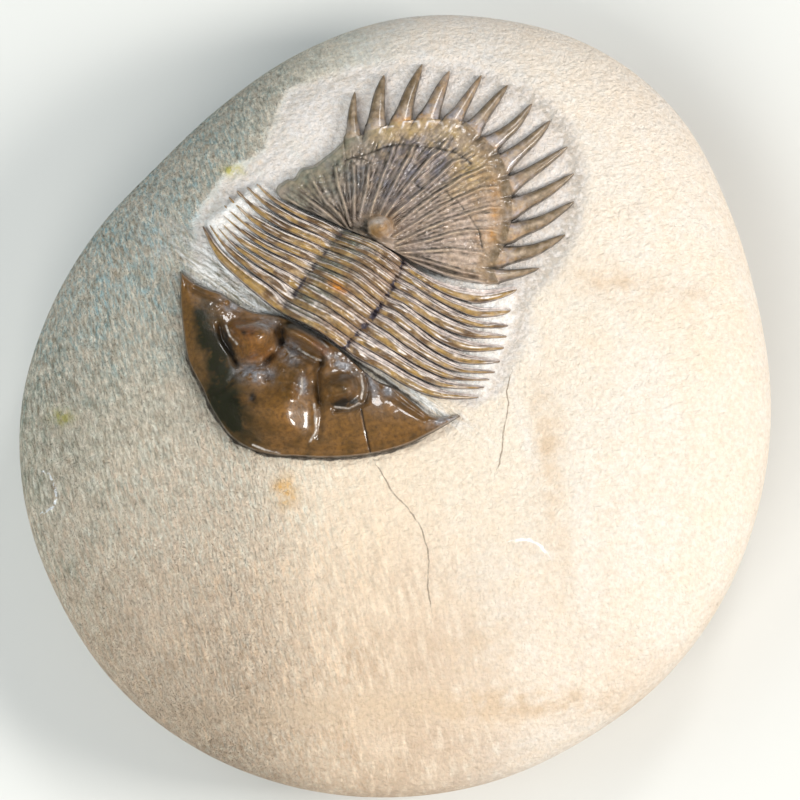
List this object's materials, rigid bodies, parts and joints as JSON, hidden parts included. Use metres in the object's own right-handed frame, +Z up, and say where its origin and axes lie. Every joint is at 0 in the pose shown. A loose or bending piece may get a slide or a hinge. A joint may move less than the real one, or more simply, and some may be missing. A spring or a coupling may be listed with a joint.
{
  "type": "trilobite fossil in matrix",
  "caption": "Trilobite fossil with a spiny fan-shaped tail, ribbed thorax and raised eyes, standing proud of a smooth domed slab of matrix stone with a flat underside.",
  "frame": {"origin": "middle of the stone's flat underside, under the middle of its outline", "axes": "+Z up from the flat underside through the fossil; +Y towards the tail spines' end of the stone; +X to the right of one who reads the fossil with the tail at the top"},
  "size_m": [0.0976, 0.1028, 0.0319],
  "materials": {
    "matrix_stone": "fine sanded limestone, matt",
    "fossil_shell": "polished amber-brown calcite, satin to glossy",
    "tail_shell": "grey-brown and ochre calcite, satin"
  },
  "bodies": {
    "root": {"matrix_stone": "matrix_stone", "cephalon": "fossil_shell", "thorax_segment_01": "fossil_shell", "thorax_segment_02": "fossil_shell", "thorax_segment_03": "fossil_shell", "thorax_segment_04": "fossil_shell", "thorax_segment_05": "fossil_shell", "thorax_segment_06": "fossil_shell", "thorax_segment_07": "fossil_shell", "thorax_segment_08": "fossil_shell", "thorax_segment_09": "fossil_shell", "thorax_segment_10": "fossil_shell", "pygidium": "tail_shell"}
  },
  "joints": []
}
